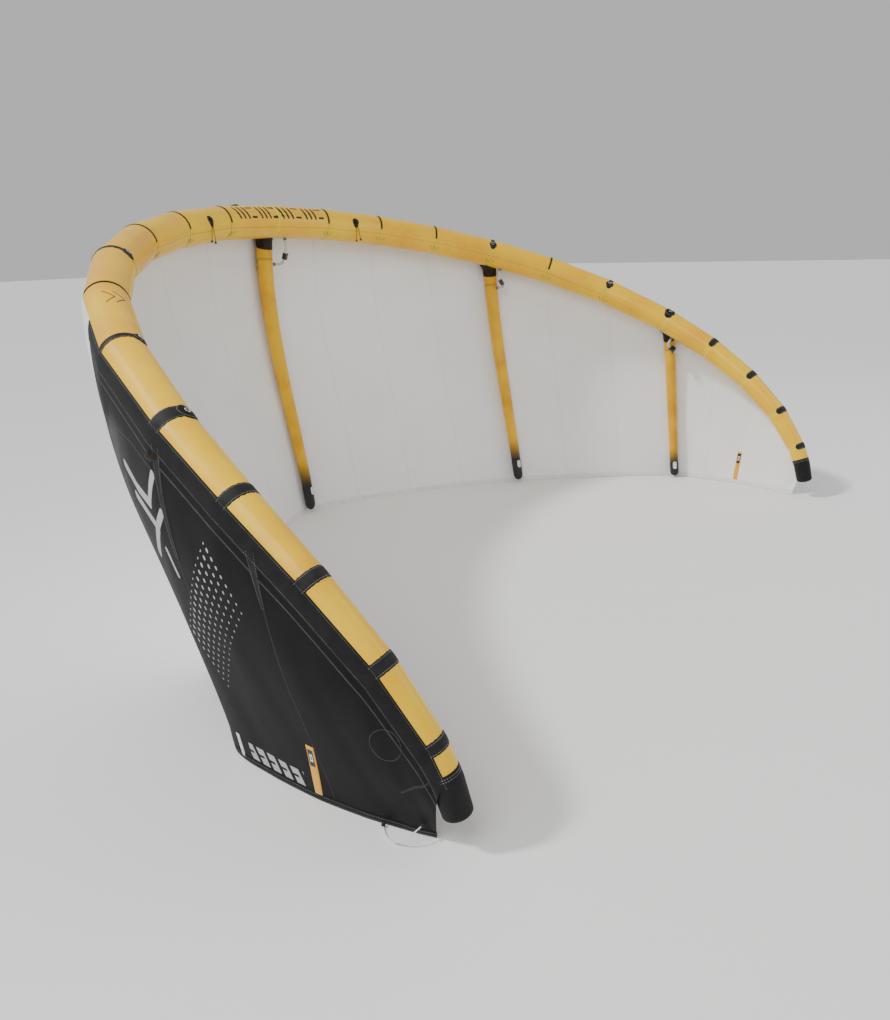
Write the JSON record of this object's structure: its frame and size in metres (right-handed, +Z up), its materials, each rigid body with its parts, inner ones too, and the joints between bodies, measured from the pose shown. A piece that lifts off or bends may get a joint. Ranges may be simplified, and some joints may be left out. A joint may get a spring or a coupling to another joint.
{
  "type": "kitesurf kite",
  "caption": "Inflatable leading edge kite for kitesurfing: curved tube, struts, thin canopy, bands, valves and short bridle line ends, standing on its trailing edge.",
  "frame": {"origin": "middle of the footprint, at the height of the ground under the trailing edge", "axes": "+X along the span, towards the right wing tip; +Y towards the convex side of the arc; +Z up"},
  "size_m": [4.0298, 2.7266, 1.7774],
  "materials": {
    "band": "woven reinforcement tape",
    "bladder": "clear polyurethane film",
    "canopy_black": "thin ripstop cloth",
    "canopy_white": "thin ripstop cloth",
    "casing": "glossy coated polyester cloth",
    "clip": "moulded, gloss",
    "clip_lever": "moulded, gloss",
    "cuff": "woven reinforcement cloth",
    "end_cap": "moulded, satin",
    "fitting": "moulded, matte",
    "hem": "folded and stitched tape",
    "hose": "translucent silicone",
    "line_dark": "braided line",
    "line_white": "braided line",
    "patch": "woven reinforcement cloth",
    "pin_metal": "turned",
    "ring_metal": "polished wire",
    "seam_tape": "stitched seam tape",
    "strut_casing": "glossy coated polyester cloth",
    "tab": "printed label cloth",
    "tip_cap": "woven reinforcement cloth",
    "valve_lid": "moulded, matte",
    "valve_plastic": "moulded, matte"
  },
  "bodies": {
    "kite": {"bridle_pigtail_a_left": "line_dark", "bridle_pigtail_a_right": "line_dark", "bridle_pigtail_b_left": "line_dark", "bridle_pigtail_b_right": "line_dark", "bridle_rings": "ring_metal", "canopy_panel_1_left": "canopy_white", "canopy_panel_1_right": "canopy_white", "canopy_panel_2_left": "canopy_white", "canopy_panel_2_right": "canopy_white", "canopy_panel_3_left": "canopy_black", "canopy_panel_3_right": "canopy_white", "canopy_panel_4_left": "canopy_black", "canopy_panel_4_right": "canopy_white", "canopy_panel_5_left": "canopy_black", "canopy_panel_5_right": "canopy_white", "canopy_panel_6_left": "canopy_black", "canopy_panel_6_right": "canopy_white", "deflation_valve_body": "valve_plastic", "hinge_pins": "pin_metal", "hose_clip_frames": "clip", "hose_fittings": "fitting", "inflation_valve_body": "valve_plastic", "leading_edge_bladders": "bladder", "leading_edge_panels_1_left": "casing", "leading_edge_panels_1_right": "casing", "leading_edge_panels_2_left": "casing", "leading_edge_panels_2_right": "casing", "leading_edge_panels_3_left": "casing", "leading_edge_panels_3_right": "casing", "leading_edge_panels_4_left": "casing", "leading_edge_panels_4_right": "casing", "leading_edge_panels_5_left": "casing", "leading_edge_panels_5_right": "casing", "leading_edge_panels_6_left": "casing", "leading_edge_panels_6_right": "casing", "line_patches": "patch", "pigtail_knots": "line_dark", "rear_pigtail_left": "line_white", "rear_pigtail_right": "line_white", "reinforcement_bands": "band", "seam_tapes": "seam_tape", "strut_bladders": "bladder", "strut_centre": "strut_casing", "strut_end_caps": "end_cap", "strut_hoses": "hose", "strut_inner_left": "strut_casing", "strut_inner_right": "strut_casing", "strut_joint_cuffs": "cuff", "strut_outer_left": "strut_casing", "strut_outer_right": "strut_casing", "tip_caps": "tip_cap", "tip_tabs": "tab", "trailing_edge_hem": "hem"},
    "inflation_valve_lid": {"inflation_valve_lid": "valve_lid"},
    "deflation_valve_lid": {"deflation_valve_lid": "valve_lid"},
    "clip_lever_centre": {"clip_lever_centre": "clip_lever"},
    "clip_lever_inner_right": {"clip_lever_inner_right": "clip_lever"},
    "clip_lever_inner_left": {"clip_lever_inner_left": "clip_lever"},
    "clip_lever_outer_right": {"clip_lever_outer_right": "clip_lever"},
    "clip_lever_outer_left": {"clip_lever_outer_left": "clip_lever"}
  },
  "joints": [
    {"name": "inflation_valve_lid_hinge", "type": "hinge", "parent": "kite", "child": "inflation_valve_lid", "pos_m": [0.16532, 1.31843, 1.76192], "axis": [0.0446, 0.6766, -0.735], "range_deg": [0, 100]},
    {"name": "deflation_valve_lid_hinge", "type": "hinge", "parent": "kite", "child": "deflation_valve_lid", "pos_m": [-0.24525, 1.30514, 1.75291], "axis": [0.0435, -0.6685, 0.7424], "range_deg": [0, 100]},
    {"name": "clip_lever_centre_hinge", "type": "hinge", "parent": "kite", "child": "clip_lever_centre", "pos_m": [0.09156, 1.22597, 1.48519], "axis": [0.7978, 0.5841, 0.1498], "range_deg": [0, 90]},
    {"name": "clip_lever_inner_right_hinge", "type": "hinge", "parent": "kite", "child": "clip_lever_inner_right", "pos_m": [1.38223, 0.57082, 1.28438], "axis": [0.5638, -0.6181, 0.5478], "range_deg": [0, 90]},
    {"name": "clip_lever_inner_left_hinge", "type": "hinge", "parent": "kite", "child": "clip_lever_inner_left", "pos_m": [-1.38223, 0.57082, 1.28438], "axis": [0.5638, 0.6181, -0.5478], "range_deg": [0, 90]},
    {"name": "clip_lever_outer_right_hinge", "type": "hinge", "parent": "kite", "child": "clip_lever_outer_right", "pos_m": [1.88304, -0.42889, 0.84098], "axis": [-0.4007, -0.634, 0.6614], "range_deg": [0, 90]},
    {"name": "clip_lever_outer_left_hinge", "type": "hinge", "parent": "kite", "child": "clip_lever_outer_left", "pos_m": [-1.88304, -0.42889, 0.84098], "axis": [-0.4007, 0.634, -0.6614], "range_deg": [0, 90]}
  ]
}
